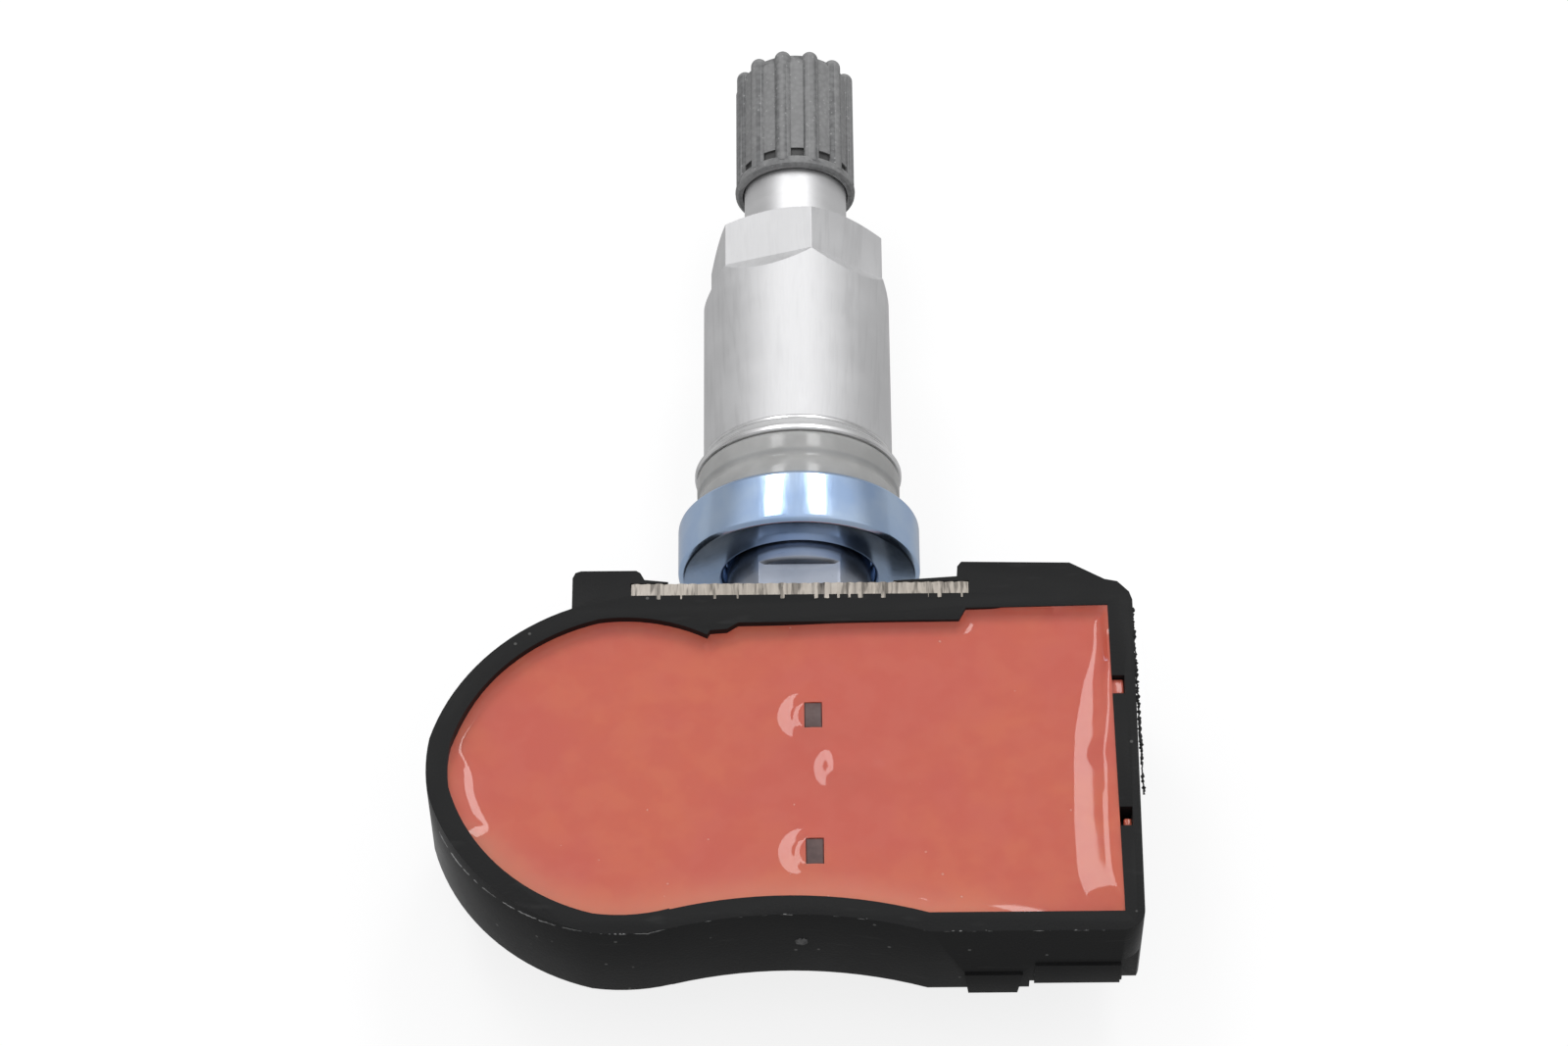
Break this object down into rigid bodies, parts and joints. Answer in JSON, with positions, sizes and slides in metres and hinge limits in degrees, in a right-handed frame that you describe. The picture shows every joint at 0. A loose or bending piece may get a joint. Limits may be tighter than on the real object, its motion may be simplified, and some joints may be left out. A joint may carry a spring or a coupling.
{
  "type": "tyre pressure sensor",
  "caption": "Tyre pressure sensor: potted black housing with a serrated plate, tilting clamp-in metal valve, collar, grommet, sleeve nut and ribbed cap.",
  "frame": {"origin": "on the valve's axis where the wheel rim's inner face seats on the grommet", "axes": "+X along the housing towards its square end, +Y towards the valve cap, +Z out of the potted face"},
  "size_m": [0.0498, 0.0779, 0.0184],
  "materials": {
    "housing_plastic": "fine moulded texture",
    "potting_resin": "glossy cast resin",
    "plate_steel": "sheared and toothed",
    "stem_aluminium": "turned, satin",
    "blue_zinc": "bright blue zinc plate",
    "clear_rubber": "translucent elastomer",
    "washer_aluminium": "bright turned",
    "nut_aluminium": "fine matte anodised",
    "cap_plastic": "speckled dark grey",
    "black_rubber": "matte",
    "core_brass": "plated",
    "gasket_rubber": "matte",
    "spring_steel": "drawn wire",
    "board_green": "solder resist",
    "cell_steel": "drawn can",
    "tab_nickel": "nickel strip",
    "chip_black": "moulded package",
    "membrane_white": "porous film",
    "ferrite": "sintered",
    "copper_wire": "enamelled copper",
    "antenna_brass": "plated strip",
    "can_steel": "seam-welded can",
    "capacitor_body": "ceramic",
    "post_metal": "tinned, dulled"
  },
  "bodies": {
    "sensor": {"housing": "housing_plastic", "potting": "potting_resin", "serrated_plate": "plate_steel", "pcb": "board_green", "coin_cell": "cell_steel", "battery_tab_plus": "tab_nickel", "battery_tab_minus": "tab_nickel", "pressure_chip": "chip_black", "port_gasket": "black_rubber", "port_membrane": "membrane_white", "coil_core": "ferrite", "coil_winding": "copper_wire", "antenna_strip": "antenna_brass", "crystal": "can_steel", "capacitors": "capacitor_body", "contact_posts": "post_metal"},
    "valve": {"valve_stem": "stem_aluminium", "collar_ring": "blue_zinc", "grommet": "clear_rubber", "core_body": "core_brass", "core_gasket": "gasket_rubber", "core_spring": "spring_steel"},
    "core_pin": {"core_pin": "core_brass", "core_cup": "black_rubber"},
    "nut_washer": {"clamp_washer": "washer_aluminium"},
    "nut": {"sleeve_nut": "nut_aluminium"},
    "cap_seal": {"cap_seal": "black_rubber"},
    "cap": {"valve_cap": "cap_plastic"}
  },
  "joints": [
    {"name": "valve_tilt", "type": "hinge", "parent": "sensor", "child": "valve", "pos_m": [0, -0.01593, -0.00145], "axis": [1, 0, 0], "range_deg": [-15, 9]},
    {"name": "pin_press", "type": "slide", "parent": "valve", "child": "core_pin", "axis": [0, -0.9959, -0.0906], "range_m": [0, 0.0009], "stiffness_N_per_m": 900, "deforming": ["core_spring"]},
    {"name": "nut_lift", "type": "slide", "parent": "valve", "child": "nut_washer", "axis": [0, 0.9959, 0.0906], "range_m": [0, 0.0045]},
    {"name": "nut_turn", "type": "hinge", "parent": "nut_washer", "child": "nut", "pos_m": [0, 0, 0], "axis": [0, 0.9959, 0.0906], "range_deg": [0, 1620]},
    {"name": "cap_lift", "type": "slide", "parent": "valve", "child": "cap_seal", "axis": [0, 0.9959, 0.0906], "range_m": [0, 0.00476]},
    {"name": "cap_turn", "type": "hinge", "parent": "cap_seal", "child": "cap", "pos_m": [0, 0, 0], "axis": [0, 0.9959, 0.0906], "range_deg": [0, 2160]}
  ],
  "couplings": [
    {"joint": "nut_turn", "follows": "nut_lift", "rad_per_m": 6283.2},
    {"joint": "cap_turn", "follows": "cap_lift", "rad_per_m": 7915.1}
  ]
}
